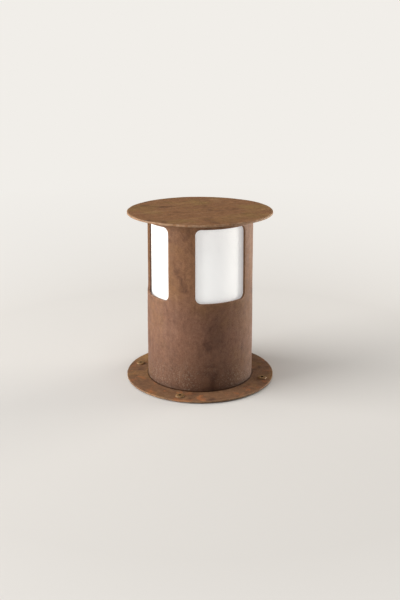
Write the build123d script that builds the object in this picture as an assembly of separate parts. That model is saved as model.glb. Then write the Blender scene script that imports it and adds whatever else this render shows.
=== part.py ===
"""Weathering-steel garden lantern: a windowed steel cover over a sealed opal lamp unit.

Frame: millimetres, +Z up, origin on the ground at the centre of the mounting plate.
One window faces -Y; the posts between the windows stand on the diagonals.
Each function makes one sub-part, and build_all() names it after the file that it is written to.
"""
from build123d import *
from math import cos, radians, sin, sqrt
import os

# ---- Driving dimensions of the steel cover ----
TUBE_OD = 146.0            # outside diameter of the housing tube
TUBE_WALL = 3.0
FLANGE_WIDTH = 29.5        # from the tube's outside to the flange's rim
LID_OVERHANG = 27.0        # from the tube's outside to the lid's rim
FLANGE_T = 2.0
LID_T = 3.0
PLATE_EDGE = 0.5           # broken edge of the flange and the lid
WELD_LEG = 1.2             # fillet weld between tube and flange

SILL_HEIGHT = 120.0        # flange top to window bottom
WINDOW_HEIGHT = 99.0
HEAD_BAND = 9.5            # steel left above the windows
WINDOW_COUNT = 4
WINDOW_ANGLE = 60.0        # degrees of the tube that each window opens
WINDOW_CORNER_R = 8.0
FIRST_WINDOW = -90.0       # direction of the first window's centre, degrees from +X

# ---- Flange screws (low flanged button heads) ----
SCREW_COUNT = 4
SCREW_FROM_TUBE = 16.5     # tube outside to the screw's axis
SCREW_TURN = 3.0           # degrees that the screws stand past the posts' centres
SCREW_R = 2.5
SCREW_HEAD_R = 6.0
SCREW_HEAD_H = 1.8
SCREW_RIM_T = 0.6
SCREW_CROWN_R = 3.4
SCREW_SOCKET_AF = 3.0
SCREW_SOCKET_DEPTH = 1.2
SCREW_TIP_GAP = 0.5        # screw tip above the ground

# ---- Lid fixing ----
BRACKET_T = 1.5
BRACKET_ANGLE = 13.0       # degrees of the tube that one bracket spans
BRACKET_DROP = 9.0
BRACKET_REACH = 19.0       # from the tube's inside towards the axis
LID_STUD_R = 2.0
LID_STUD_IN = 10.0         # tube inside to the stud's axis
LID_STUD_PAST_NUT = 0.6
LID_WASHER_R = 4.5
LID_WASHER_T = 0.8
LID_NUT_AF = 7.0
LID_NUT_H = 2.6

# ---- Mounting plate and what stands on it ----
PLATE_T = 1.5
PLATE_SETBACK = 8.0        # flange rim to the mounting plate's rim
GROUND_HOLE_COUNT = 4
GROUND_HOLE_R = 3.25
GROUND_HOLE_RING_R = 58.0
ENTRY_X = -40.0            # cable entry in the mounting plate
ENTRY_HOLE_R = 9.0
ENTRY_BORE_R = 5.0
ENTRY_LIP = 2.5            # grommet lip beyond the plate's hole
ENTRY_LIP_T = 2.0
EARTH_Y = -42.0
EARTH_STUD_R = 2.0
EARTH_STUD_H = 16.0
EARTH_NUT_AF = 7.0
EARTH_NUT_H = 3.2
EARTH_WASHER_R = 4.5
EARTH_WASHER_T = 0.8

PILLAR_COUNT = 3
PILLAR_RING_R = 44.0
PILLAR_AF = 8.0
PILLAR_SCREW_R = 2.0
PILLAR_SCREW_DEPTH = 9.0
PILLAR_BORE_DEPTH = 12.0
CSK_HEAD_R = 3.7
PAN_HEAD_R = 3.8
PAN_HEAD_H = 2.4

# ---- Terminal box ----
BOX_X = 14.0
BOX_LENGTH = 48.0
BOX_WIDTH = 34.0
BOX_HEIGHT = 26.0
BOX_WALL = 2.0
BOX_CORNER_R = 3.0
BOX_LID_T = 2.5
BOX_SCREW_R = 1.5
BOX_BOSS_R = 3.2
BOX_BOSS_BITE = 0.8        # how far a screw boss runs into the box's walls
BLOCK_POLES = 3
BLOCK_PITCH = 9.0
BLOCK_DEPTH = 16.0
BLOCK_HEIGHT = 11.0
BLOCK_WIRE_R = 1.6
BLOCK_SCREW_WELL_R = 1.7
GLAND_HOLE_R = 6.0
GLAND_HEX_AF = 18.0
GLAND_HEX_T = 5.0
GLAND_NECK_R = 7.0
GLAND_NECK_LENGTH = 6.0
GLAND_CAP_R = 8.5
GLAND_CAP_LENGTH = 10.0
GLAND_BORE_R = 3.6

# ---- Lamp tray, lock ring and diffuser ----
TRAY_T = 2.0
TRAY_BELOW_SILL = 15.0     # window bottom to the tray's top face
DIFFUSER_GAP = 3.0         # tube inside to the diffuser
DIFFUSER_WALL = 3.0
DIFFUSER_TOP_GAP = 8.0     # diffuser top to the lid's underside
DIFFUSER_EDGE_R = 4.0
SEAL_T = 1.0
SEAL_WIDTH = 3.6
COLLAR_FLANGE_T = 3.0
COLLAR_UPSTAND_T = 1.5
COLLAR_UPSTAND_H = 8.0
COLLAR_GLUE_GAP = 0.2
LOCK_RING_T = 3.5
LOCK_RING_H = 10.0
LOCK_RING_CLEARANCE = 0.3
LUG_COUNT = 3
LUG_ANGLE = 10.0
LUG_HEIGHT = 3.0
LUG_START = 30.0           # direction of the first lug, degrees from +X
LUG_TRAVEL = 20.0          # twist that frees the diffuser
LUG_SIDE_GAP = 2.0         # degrees between a lug and its slot's end
LUG_PLAY = 0.4             # above and below a lug in its slot
TRAY_GROMMET_X = -36.0
TRAY_GROMMET_R = 4.0
TRAY_GROMMET_LIP = 1.5
TRAY_GROMMET_BORE_R = 2.4
TRAY_GROMMET_LIP_T = 1.5

# ---- Lampholder and lamp (E27) ----
HOLDER_R = 19.5
HOLDER_HOLE_CLEARANCE = 0.5
HOLDER_ABOVE_TRAY = 18.0
HOLDER_BELOW_TRAY = 20.0
HOLDER_FLOOR_T = 10.0
HOLDER_FLANGE_R = 27.0
HOLDER_FLANGE_T = 3.0
HOLDER_MOUTH_EDGE = 1.5
HOLDER_SCREW_COUNT = 2
HOLDER_SCREW_RING_R = 23.2
HOLDER_SCREW_R = 1.5
HOLDER_SCREW_HEAD_R = 2.8
HOLDER_SCREW_HEAD_H = 1.8
HOLDER_SCREW_LENGTH = 7.0
HOLDER_CONTACT_R = 5.0
HOLDER_CONTACT_T = 0.8
CAP_R = 13.2
CAP_CLEARANCE = 0.4
CAP_SHELL_H = 20.0
CAP_WALL = 0.6
CAP_INSULATOR_H = 3.0
CAP_TIP_R = 4.0
CAP_TIP_H = 1.6
CAP_TIP_GAP = 0.3
CAP_STANDOUT = 1.5         # lamp body above the lampholder's mouth
LAMP_BODY_H = 34.0
LAMP_BODY_R = 27.0
LAMP_GLOBE_R = 30.0
LAMP_GLOBE_WALL = 1.2
LAMP_TOP_GAP = 8.0         # globe top to the diffuser's inside

RUN_CLEARANCE = 0.3        # radial clearance of a screw in its hole
THREAD_CLEARANCE = 0.1     # radial clearance of a small screw in its tapped hole

# ---- Places worked out from the sizes above ----
TUBE_R = TUBE_OD / 2
TUBE_IR = TUBE_R - TUBE_WALL
FLANGE_R = TUBE_R + FLANGE_WIDTH
LID_R = TUBE_R + LID_OVERHANG
PLATE_R = FLANGE_R - PLATE_SETBACK
FLANGE_TOP = PLATE_T + FLANGE_T
SILL_Z = FLANGE_TOP + SILL_HEIGHT
HEAD_Z = SILL_Z + WINDOW_HEIGHT
LID_BOTTOM = HEAD_Z + HEAD_BAND
LID_TOP = LID_BOTTOM + LID_T
POST_PITCH = 360.0 / WINDOW_COUNT
FIRST_POST = FIRST_WINDOW + POST_PITCH / 2
SCREW_RING_R = TUBE_R + SCREW_FROM_TUBE
LID_STUD_RING_R = TUBE_IR - LID_STUD_IN

DIFFUSER_R = TUBE_IR - DIFFUSER_GAP
DIFFUSER_IR = DIFFUSER_R - DIFFUSER_WALL
DIFFUSER_TOP = LID_BOTTOM - DIFFUSER_TOP_GAP
CAP_LENGTH = CAP_SHELL_H + CAP_INSULATOR_H + CAP_TIP_H
LAMP_ABOVE_MOUTH = CAP_STANDOUT + LAMP_BODY_H + LAMP_GLOBE_R + sqrt(LAMP_GLOBE_R**2 - LAMP_BODY_R**2)
LAMP_REACH = HOLDER_ABOVE_TRAY + LAMP_ABOVE_MOUTH
# the tray hides below the sill, and sits lower still where the lamp needs the height
TRAY_TOP = min(SILL_Z - TRAY_BELOW_SILL, DIFFUSER_TOP - DIFFUSER_WALL - LAMP_TOP_GAP - LAMP_REACH)
TRAY_BOTTOM = TRAY_TOP - TRAY_T
COLLAR_BOTTOM = TRAY_TOP + SEAL_T
DIFFUSER_BOTTOM = COLLAR_BOTTOM + COLLAR_FLANGE_T
COLLAR_UPSTAND_OR = DIFFUSER_IR - COLLAR_GLUE_GAP
COLLAR_IR = COLLAR_UPSTAND_OR - COLLAR_UPSTAND_T
LOCK_RING_OR = COLLAR_IR - LOCK_RING_CLEARANCE
LOCK_RING_IR = LOCK_RING_OR - LOCK_RING_T
LUG_BOTTOM = COLLAR_BOTTOM + LUG_PLAY
HOLDER_TOP = TRAY_TOP + HOLDER_ABOVE_TRAY
HOLDER_BOTTOM = TRAY_BOTTOM - HOLDER_BELOW_TRAY
CAP_TOP = HOLDER_TOP + CAP_STANDOUT
CAP_BOTTOM = CAP_TOP - CAP_LENGTH
HOLDER_FLOOR = CAP_BOTTOM - CAP_TIP_GAP - HOLDER_CONTACT_T
BOX_TOP = PLATE_T + BOX_HEIGHT

UP = (Align.CENTER, Align.CENTER, Align.MIN)


# ---- Shared shapes ----
def disc(radius, low, high):
    """A solid disc on the Z axis between two heights."""
    return Pos(0, 0, low) * Cylinder(radius, high - low, align=UP)


def ring(outer, inner, low, high):
    """A flat ring or a tube on the Z axis between two heights."""
    return disc(outer, low, high) - disc(inner, low - 1, high + 1)


def hex_prism(across_flats, low, high):
    """A hexagonal prism on the Z axis between two heights."""
    face = RegularPolygon(across_flats / 2, 6, major_radius=False)
    return Pos(0, 0, low) * extrude(face, amount=high - low)


def polar(radius, angle):
    """The place at a radius and an angle in degrees from +X."""
    return Pos(radius * cos(radians(angle)), radius * sin(radians(angle)), 0)


def around(shape, radius, count, first=0.0):
    """Copies of a shape made on the Z axis, evenly spaced on a circle and turned with it."""
    step = 360.0 / count
    return [
        polar(radius, first + i * step) * Rot(0, 0, first + i * step) * shape
        for i in range(count)
    ]


def cut_all(shape, cutters):
    """The shape less every cutter."""
    for cutter in cutters:
        shape = shape - cutter
    return shape


def sector(outer, inner, low, high, angle, centre):
    """A piece of a ring, so many degrees wide about a direction."""
    profile = Plane.XZ * Pos((outer + inner) / 2, (low + high) / 2) * Rectangle(outer - inner, high - low)
    return Rot(0, 0, centre - angle / 2) * revolve(profile, axis=Axis.Z, revolution_arc=angle)


def turned(points):
    """A solid turned about the Z axis from a closed outline of (radius, height) points."""
    return revolve(Plane.XZ * make_face(Polyline(*points, close=True)), axis=Axis.Z)


def pan_screw(head_r, head_h, shank_r, length):
    """A pan-head screw with its seat at z = 0, its head up and its shank down."""
    head = disc(head_r, 0, head_h)
    head = fillet(head.edges().group_by(Axis.Z)[-1], head_h * 0.45)
    slot = Pos(0, 0, head_h) * Box(head_r * 1.3, head_r * 0.25, head_h * 0.9)
    cross = Rot(0, 0, 90) * slot
    return head - slot - cross + disc(shank_r, -length, 0)


# ---- Steel cover ----
def base_flange():
    """The flat ring that the tube is welded to, with a hole for each captive screw."""
    body = ring(FLANGE_R, TUBE_IR, PLATE_T, FLANGE_TOP)
    rim = body.edges().filter_by(GeomType.CIRCLE).sort_by(SortBy.RADIUS)[-2:]
    body = fillet(rim, PLATE_EDGE)
    hole = disc(SCREW_R + RUN_CLEARANCE, PLATE_T - 1, FLANGE_TOP + 1)
    return cut_all(body, around(hole, SCREW_RING_R, SCREW_COUNT, FIRST_POST + SCREW_TURN))


def window_cutter():
    """A radial cutter of one window about +X, with rounded corners."""
    cutter = sector(TUBE_R + 5, TUBE_IR - 5, SILL_Z, HEAD_Z, WINDOW_ANGLE, 0)
    radial = [e for e in cutter.edges().filter_by(GeomType.LINE) if abs((e % 0).Z) < 0.01]
    return fillet(radial, WINDOW_CORNER_R)


def housing_tube():
    """The tube with its windows."""
    body = ring(TUBE_R, TUBE_IR, FLANGE_TOP, LID_BOTTOM)
    return cut_all(body, around(window_cutter(), 0, WINDOW_COUNT, FIRST_WINDOW))


def base_weld():
    """The fillet weld around the foot of the tube."""
    return turned([(TUBE_R, FLANGE_TOP), (TUBE_R + WELD_LEG, FLANGE_TOP), (TUBE_R, FLANGE_TOP + WELD_LEG)])


def lid_plate():
    """The round top plate with broken edges."""
    body = disc(LID_R, LID_BOTTOM, LID_TOP)
    return fillet(body.edges(), PLATE_EDGE)


def flange_screw():
    """A captive flanged button-head screw with a hexagon socket, seated at z = 0."""
    crown_z = SCREW_HEAD_H
    shoulder = ((SCREW_HEAD_R + SCREW_CROWN_R) / 2, SCREW_RIM_T + 0.68 * (crown_z - SCREW_RIM_T))
    tip = FLANGE_TOP - SCREW_TIP_GAP
    outline = Polyline((SCREW_CROWN_R, crown_z), (0, crown_z), (0, -tip), (SCREW_R, -tip),
                       (SCREW_R, 0), (SCREW_HEAD_R, 0), (SCREW_HEAD_R, SCREW_RIM_T))
    outline += ThreePointArc((SCREW_HEAD_R, SCREW_RIM_T), shoulder, (SCREW_CROWN_R, crown_z))
    body = revolve(Plane.XZ * make_face(outline), axis=Axis.Z)
    return body - hex_prism(SCREW_SOCKET_AF, crown_z - SCREW_SOCKET_DEPTH, crown_z + 1)


def flange_screws():
    """The captive screws that hold the cover on the mounting plate."""
    screw = Pos(0, 0, FLANGE_TOP) * flange_screw()
    return around(screw, SCREW_RING_R, SCREW_COUNT, FIRST_POST + SCREW_TURN)


def lid_brackets():
    """Curved angle brackets, welded inside the tube's top at each post."""
    leg = sector(TUBE_IR, TUBE_IR - BRACKET_T, LID_BOTTOM - BRACKET_DROP, LID_BOTTOM, BRACKET_ANGLE, 0)
    shelf = sector(TUBE_IR, TUBE_IR - BRACKET_REACH, LID_BOTTOM - BRACKET_T, LID_BOTTOM, BRACKET_ANGLE, 0)
    hole = Pos(LID_STUD_RING_R, 0, 0) * disc(LID_STUD_R + RUN_CLEARANCE, LID_BOTTOM - BRACKET_T - 1, LID_BOTTOM + 1)
    return around(leg + shelf - hole, 0, WINDOW_COUNT, FIRST_POST)


def lid_studs():
    """Studs welded to the lid's underside."""
    low = LID_BOTTOM - BRACKET_T - LID_WASHER_T - LID_NUT_H - LID_STUD_PAST_NUT
    return around(disc(LID_STUD_R, low, LID_BOTTOM), LID_STUD_RING_R, WINDOW_COUNT, FIRST_POST)


def lid_washers():
    """Washers under the brackets."""
    high = LID_BOTTOM - BRACKET_T
    washer = ring(LID_WASHER_R, LID_STUD_R + RUN_CLEARANCE, high - LID_WASHER_T, high)
    return around(washer, LID_STUD_RING_R, WINDOW_COUNT, FIRST_POST)


def lid_nuts():
    """Nuts that draw the lid down on the tube."""
    high = LID_BOTTOM - BRACKET_T - LID_WASHER_T
    nut = hex_prism(LID_NUT_AF, high - LID_NUT_H, high) - disc(LID_STUD_R + THREAD_CLEARANCE, high - 10, high + 1)
    return around(nut, LID_STUD_RING_R, WINDOW_COUNT, FIRST_POST)


# ---- Mounting plate ----
def mounting_plate():
    """The ground plate: screw holes for the cover, pillars, ground fixings and the cable entry."""
    body = disc(PLATE_R, 0, PLATE_T)
    through = lambda radius: disc(radius, -1, PLATE_T + 1)
    cuts = around(through(SCREW_R + RUN_CLEARANCE), SCREW_RING_R, SCREW_COUNT, FIRST_POST + SCREW_TURN)
    cuts += around(through(GROUND_HOLE_R), GROUND_HOLE_RING_R, GROUND_HOLE_COUNT, FIRST_POST)
    cuts += around(pillar_screw_seat(), PILLAR_RING_R, PILLAR_COUNT, 90)
    cuts.append(Pos(ENTRY_X, 0, 0) * through(ENTRY_HOLE_R))
    return cut_all(body, cuts)


def pillar_screw_seat():
    """The countersunk hole that a pillar screw sits in."""
    hole_r = PILLAR_SCREW_R + RUN_CLEARANCE
    depth = CSK_HEAD_R - PILLAR_SCREW_R
    return turned([(0, -1), (CSK_HEAD_R, -1), (CSK_HEAD_R, 0), (hole_r, depth + PILLAR_SCREW_R - hole_r),
                   (hole_r, PLATE_T + 1), (0, PLATE_T + 1)])


def pillar_screws():
    """Countersunk screws that hold the pillars from below."""
    depth = CSK_HEAD_R - PILLAR_SCREW_R
    tip = PLATE_T + PILLAR_SCREW_DEPTH
    screw = turned([(0, 0), (CSK_HEAD_R, 0), (PILLAR_SCREW_R - THREAD_CLEARANCE, depth + THREAD_CLEARANCE),
                    (PILLAR_SCREW_R - THREAD_CLEARANCE, tip), (0, tip)])
    return around(screw, PILLAR_RING_R, PILLAR_COUNT, 90)


def pillars():
    """Hexagonal spacers between the mounting plate and the lamp tray, relieved at the foot for the screws' heads."""
    body = hex_prism(PILLAR_AF, PLATE_T, TRAY_BOTTOM)
    body -= disc(PILLAR_SCREW_R, PLATE_T - 1, PLATE_T + PILLAR_BORE_DEPTH)
    body -= pillar_screw_seat()
    body -= disc(PILLAR_SCREW_R, TRAY_BOTTOM - PILLAR_BORE_DEPTH, TRAY_BOTTOM + 1)
    return around(body, PILLAR_RING_R, PILLAR_COUNT, 90)


def grommet(hole_r, lip, lip_t, bore_r, low, high):
    """A grommet in a plate between two heights, with a lip above it and a lip below it if there is room."""
    below = min(lip_t, low)
    body = disc(hole_r, low - below, high + lip_t) + disc(hole_r + lip, high, high + lip_t)
    if below > 0:
        body += disc(hole_r + lip, low - below, low)
    return body - disc(bore_r, low - lip_t - 1, high + lip_t + 1)


def entry_grommet():
    """The rubber grommet that the supply cable comes up through."""
    return Pos(ENTRY_X, 0, 0) * grommet(ENTRY_HOLE_R, ENTRY_LIP, ENTRY_LIP_T, ENTRY_BORE_R, 0, PLATE_T)


def earth_terminal():
    """The earth stud with its washer and two nuts."""
    washer_top = PLATE_T + EARTH_NUT_H + EARTH_WASHER_T
    bore = disc(EARTH_STUD_R + THREAD_CLEARANCE, 0, EARTH_STUD_H * 2)
    low_nut = hex_prism(EARTH_NUT_AF, PLATE_T, PLATE_T + EARTH_NUT_H) - bore
    washer = disc(EARTH_WASHER_R, PLATE_T + EARTH_NUT_H, washer_top) - bore
    high_nut = hex_prism(EARTH_NUT_AF, washer_top, washer_top + EARTH_NUT_H) - bore
    stud = disc(EARTH_STUD_R, PLATE_T, PLATE_T + EARTH_STUD_H)
    return [Pos(0, EARTH_Y, 0) * piece for piece in (stud, low_nut, washer, high_nut)]


# ---- Terminal box ----
def box_screw_places():
    """The places of the two lid screws, in opposite corners of the box."""
    x = BOX_LENGTH / 2 - BOX_WALL - BOX_BOSS_R + BOX_BOSS_BITE
    y = BOX_WIDTH / 2 - BOX_WALL - BOX_BOSS_R + BOX_BOSS_BITE
    return [Pos(BOX_X + x, y, 0), Pos(BOX_X - x, -y, 0)]


def terminal_box():
    """The open terminal box with two screw bosses and a hole for the cable gland."""
    outline = RectangleRounded(BOX_LENGTH, BOX_WIDTH, BOX_CORNER_R)
    inside = RectangleRounded(BOX_LENGTH - 2 * BOX_WALL, BOX_WIDTH - 2 * BOX_WALL, BOX_CORNER_R - BOX_WALL / 2)
    body = Pos(BOX_X, 0, PLATE_T) * extrude(outline, amount=BOX_HEIGHT)
    body -= Pos(BOX_X, 0, PLATE_T + BOX_WALL) * extrude(inside, amount=BOX_HEIGHT)
    for place in box_screw_places():
        body += place * disc(BOX_BOSS_R, PLATE_T + BOX_WALL / 2, BOX_TOP)
        body -= place * disc(BOX_SCREW_R, BOX_TOP - 10, BOX_TOP + 1)
    gland_hole = Pos(BOX_X - BOX_LENGTH / 2, 0, gland_height()) * Rot(0, 90, 0) * Cylinder(GLAND_HOLE_R, 3 * BOX_WALL)
    return body - gland_hole


def gland_height():
    """The height of the cable gland's axis."""
    return PLATE_T + BOX_HEIGHT / 2


def terminal_box_lid():
    """The terminal box's lid with its screw holes."""
    outline = RectangleRounded(BOX_LENGTH, BOX_WIDTH, BOX_CORNER_R)
    body = Pos(BOX_X, 0, BOX_TOP) * extrude(outline, amount=BOX_LID_T)
    body = fillet(body.edges().group_by(Axis.Z)[-1], BOX_LID_T * 0.3)
    holes = [place * disc(BOX_SCREW_R + RUN_CLEARANCE, BOX_TOP - 1, BOX_TOP + BOX_LID_T + 1)
             for place in box_screw_places()]
    return cut_all(body, holes)


def box_lid_screws():
    """The two screws of the terminal box's lid."""
    screw = pan_screw(BOX_SCREW_R * 1.9, BOX_SCREW_R * 1.1, BOX_SCREW_R - THREAD_CLEARANCE, BOX_LID_T + 6)
    return [place * Pos(0, 0, BOX_TOP + BOX_LID_T) * screw for place in box_screw_places()]


def terminal_block():
    """The terminal block: wire holes across it and a screw well over each pole."""
    width = BLOCK_POLES * BLOCK_PITCH
    low = PLATE_T + BOX_WALL
    body = Pos(BOX_X, 0, low) * Box(BLOCK_DEPTH, width, BLOCK_HEIGHT, align=UP)
    body = fillet(body.edges().group_by(Axis.Z)[-1], 1.0)
    for i in range(BLOCK_POLES):
        y = (i - (BLOCK_POLES - 1) / 2) * BLOCK_PITCH
        body -= Pos(BOX_X, y, low + BLOCK_HEIGHT * 0.4) * Rot(0, 90, 0) * Cylinder(BLOCK_WIRE_R, BLOCK_DEPTH + 2)
        for side in (-1, 1):
            well = disc(BLOCK_SCREW_WELL_R, low + BLOCK_HEIGHT * 0.4, low + BLOCK_HEIGHT + 1)
            body -= Pos(BOX_X + side * BLOCK_DEPTH / 4, y, 0) * well
    return body


def gland_axis():
    """The gland's frame: origin on the box's outside face, +Z pointing away from the box."""
    return Pos(BOX_X - BOX_LENGTH / 2, 0, gland_height()) * Rot(0, -90, 0)


def cable_gland():
    """The gland's body: a threaded spigot through the box's wall, a hexagon and a neck."""
    spigot = disc(GLAND_HOLE_R - THREAD_CLEARANCE, -BOX_WALL - 4, 0)
    nut = hex_prism(GLAND_HEX_AF * 0.85, -BOX_WALL - 3, -BOX_WALL)
    hexagon = hex_prism(GLAND_HEX_AF, 0, GLAND_HEX_T)
    neck = disc(GLAND_NECK_R, GLAND_HEX_T, GLAND_HEX_T + GLAND_NECK_LENGTH)
    bore = disc(GLAND_BORE_R, -20, 40)
    return gland_axis() * (spigot + nut + hexagon + neck - bore)


def gland_cap():
    """The gland's domed clamping cap."""
    low = GLAND_HEX_T + 1
    high = low + GLAND_CAP_LENGTH
    body = disc(GLAND_CAP_R, low, high)
    body = fillet(body.edges().group_by(Axis.Z)[-1], 3.0)
    body -= disc(GLAND_NECK_R + RUN_CLEARANCE, low - 1, GLAND_HEX_T + GLAND_NECK_LENGTH + RUN_CLEARANCE)
    return gland_axis() * (body - disc(GLAND_BORE_R, -20, 40))


# ---- Lamp tray ----
def lamp_tray():
    """The tray that carries the lampholder and closes the diffuser from below."""
    body = disc(DIFFUSER_R, TRAY_BOTTOM, TRAY_TOP)
    through = lambda radius: disc(radius, TRAY_BOTTOM - 1, TRAY_TOP + 1)
    cuts = [through(HOLDER_R + HOLDER_HOLE_CLEARANCE)]
    cuts += around(through(PILLAR_SCREW_R + RUN_CLEARANCE), PILLAR_RING_R, PILLAR_COUNT, 90)
    cuts += around(through(HOLDER_SCREW_R), HOLDER_SCREW_RING_R, HOLDER_SCREW_COUNT)
    cuts.append(Pos(TRAY_GROMMET_X, 0, 0) * through(TRAY_GROMMET_R))
    return cut_all(body, cuts)


def tray_screws():
    """Pan-head screws through the tray into the pillars."""
    screw = pan_screw(PAN_HEAD_R, PAN_HEAD_H, PILLAR_SCREW_R - THREAD_CLEARANCE, TRAY_T + PILLAR_SCREW_DEPTH)
    return around(Pos(0, 0, TRAY_TOP) * screw, PILLAR_RING_R, PILLAR_COUNT, 90)


def tray_grommet():
    """The grommet that the lampholder's leads pass through."""
    body = grommet(TRAY_GROMMET_R, TRAY_GROMMET_LIP, TRAY_GROMMET_LIP_T, TRAY_GROMMET_BORE_R, TRAY_BOTTOM, TRAY_TOP)
    return Pos(TRAY_GROMMET_X, 0, 0) * body


def lock_ring():
    """The ring on the tray, with an L-shaped bayonet slot for each lug of the collar."""
    body = ring(LOCK_RING_OR, LOCK_RING_IR, TRAY_TOP, TRAY_TOP + LOCK_RING_H)
    for i in range(LUG_COUNT):
        lug = LUG_START + i * 360.0 / LUG_COUNT
        low, high = LUG_BOTTOM - LUG_PLAY, LUG_BOTTOM + LUG_HEIGHT + LUG_PLAY
        width = LUG_ANGLE + 2 * LUG_SIDE_GAP
        run = sector(LOCK_RING_OR + 1, LOCK_RING_IR - 1, low, high, width + LUG_TRAVEL, lug + LUG_TRAVEL / 2)
        mouth = sector(LOCK_RING_OR + 1, LOCK_RING_IR - 1, low, TRAY_TOP + LOCK_RING_H + 1, width, lug + LUG_TRAVEL)
        body = body - run - mouth
    return body


def diffuser_seal():
    """The flat seal between the tray and the collar."""
    return ring(DIFFUSER_R, DIFFUSER_R - SEAL_WIDTH, TRAY_TOP, COLLAR_BOTTOM)


def diffuser_collar():
    """The collar glued into the diffuser's mouth, with three inward bayonet lugs."""
    body = ring(DIFFUSER_R, COLLAR_IR, COLLAR_BOTTOM, DIFFUSER_BOTTOM)
    body += ring(COLLAR_UPSTAND_OR, COLLAR_IR, DIFFUSER_BOTTOM, DIFFUSER_BOTTOM + COLLAR_UPSTAND_H)
    for i in range(LUG_COUNT):
        angle = LUG_START + i * 360.0 / LUG_COUNT
        body += sector(COLLAR_IR + 0.5, LOCK_RING_IR + LOCK_RING_CLEARANCE, LUG_BOTTOM,
                       LUG_BOTTOM + LUG_HEIGHT, LUG_ANGLE, angle)
    return body


def opal_diffuser():
    """The opal cup, closed at the top and open at the bottom."""
    body = disc(DIFFUSER_R, DIFFUSER_BOTTOM, DIFFUSER_TOP)
    body = fillet(body.edges().group_by(Axis.Z)[-1], DIFFUSER_EDGE_R)
    inside = disc(DIFFUSER_IR, DIFFUSER_BOTTOM - 1, DIFFUSER_TOP - DIFFUSER_WALL)
    inside = fillet(inside.edges().group_by(Axis.Z)[-1], DIFFUSER_EDGE_R / 2)
    return body - inside


# ---- Lampholder and lamp ----
def lampholder():
    """The E27 holder: a cup that passes through the tray and hangs on its flange."""
    body = disc(HOLDER_R, HOLDER_BOTTOM, HOLDER_TOP)
    body = fillet(body.edges().group_by(Axis.Z)[-1], HOLDER_MOUTH_EDGE)
    body += disc(HOLDER_FLANGE_R, TRAY_TOP, TRAY_TOP + HOLDER_FLANGE_T)
    body -= disc(CAP_R + CAP_CLEARANCE, HOLDER_FLOOR, HOLDER_TOP + 1)
    hole = disc(HOLDER_SCREW_R + THREAD_CLEARANCE, TRAY_TOP - 1, TRAY_TOP + HOLDER_FLANGE_T + 1)
    return cut_all(body, around(hole, HOLDER_SCREW_RING_R, HOLDER_SCREW_COUNT))


def holder_screws():
    """The screws that fix the holder's flange to the tray."""
    screw = pan_screw(HOLDER_SCREW_HEAD_R, HOLDER_SCREW_HEAD_H, HOLDER_SCREW_R - THREAD_CLEARANCE, HOLDER_SCREW_LENGTH)
    seat = Pos(0, 0, TRAY_TOP + HOLDER_FLANGE_T)
    return around(seat * screw, HOLDER_SCREW_RING_R, HOLDER_SCREW_COUNT)


def holder_contact():
    """The centre contact on the holder's floor."""
    return disc(HOLDER_CONTACT_R, HOLDER_FLOOR, HOLDER_FLOOR + HOLDER_CONTACT_T)


def lamp_cap():
    """The lamp's screw shell, as a plain sleeve."""
    low = CAP_BOTTOM + CAP_TIP_H + CAP_INSULATOR_H
    return ring(CAP_R, CAP_R - CAP_WALL, low, CAP_TOP)


def lamp_insulator():
    """The black glass cone between the shell and the centre contact."""
    low = CAP_BOTTOM + CAP_TIP_H
    high = low + CAP_INSULATOR_H
    return turned([(0, low), (CAP_TIP_R + 1.5, low), (CAP_R - CAP_WALL, high), (0, high)])


def lamp_tip():
    """The lamp's centre contact."""
    return disc(CAP_TIP_R, CAP_BOTTOM, CAP_BOTTOM + CAP_TIP_H)


def lamp_body():
    """The lamp's lower body, a plug in the shell that flares to the globe."""
    low = CAP_TOP - CAP_SHELL_H
    high = CAP_TOP + LAMP_BODY_H
    outline = Polyline((0, high), (0, low), (CAP_R - CAP_WALL, low), (CAP_R - CAP_WALL, CAP_TOP), (CAP_R + 1, CAP_TOP))
    outline += Spline((CAP_R + 1, CAP_TOP), (LAMP_BODY_R, high), tangents=((0, 1), globe_tangent()))
    outline += Line((LAMP_BODY_R, high), (0, high))
    return revolve(Plane.XZ * make_face(outline), axis=Axis.Z)


def globe_tangent():
    """The direction in which the flared body meets the globe, as (radial, up)."""
    rise = sqrt(LAMP_GLOBE_R**2 - LAMP_BODY_R**2)
    return (rise / LAMP_GLOBE_R, LAMP_BODY_R / LAMP_GLOBE_R)


def lamp_globe():
    """The frosted dome of the lamp, a thin shell closed by the body."""
    centre = CAP_TOP + LAMP_BODY_H + sqrt(LAMP_GLOBE_R**2 - LAMP_BODY_R**2)
    shell = Pos(0, 0, centre) * (Sphere(LAMP_GLOBE_R) - Sphere(LAMP_GLOBE_R - LAMP_GLOBE_WALL))
    return shell - disc(LAMP_GLOBE_R + 5, centre - 2 * LAMP_GLOBE_R, CAP_TOP + LAMP_BODY_H)


SUB_PARTS = (
    base_flange, housing_tube, base_weld, lid_plate, lid_brackets, lid_studs, lid_washers, lid_nuts, flange_screws,
    mounting_plate, entry_grommet, earth_terminal, pillars, pillar_screws,
    terminal_box, terminal_box_lid, box_lid_screws, terminal_block, cable_gland, gland_cap,
    lamp_tray, tray_screws, tray_grommet, lock_ring, diffuser_seal,
    lampholder, holder_screws, holder_contact,
    diffuser_collar, opal_diffuser,
    lamp_cap, lamp_insulator, lamp_tip, lamp_body, lamp_globe,
)


def build_all():
    """Write each sub-part to parts/NAME.step, where the name is its function's."""
    os.makedirs("parts", exist_ok=True)
    for make in SUB_PARTS:
        shape = make()
        if isinstance(shape, list):
            shape = Compound([solid for piece in shape for solid in piece.solids()])
        export_step(shape, f"parts/{make.__name__}.step")
        print(make.__name__, len(shape.solids()), "solids", f"{shape.volume:.0f} mm3")


build_all()
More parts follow.
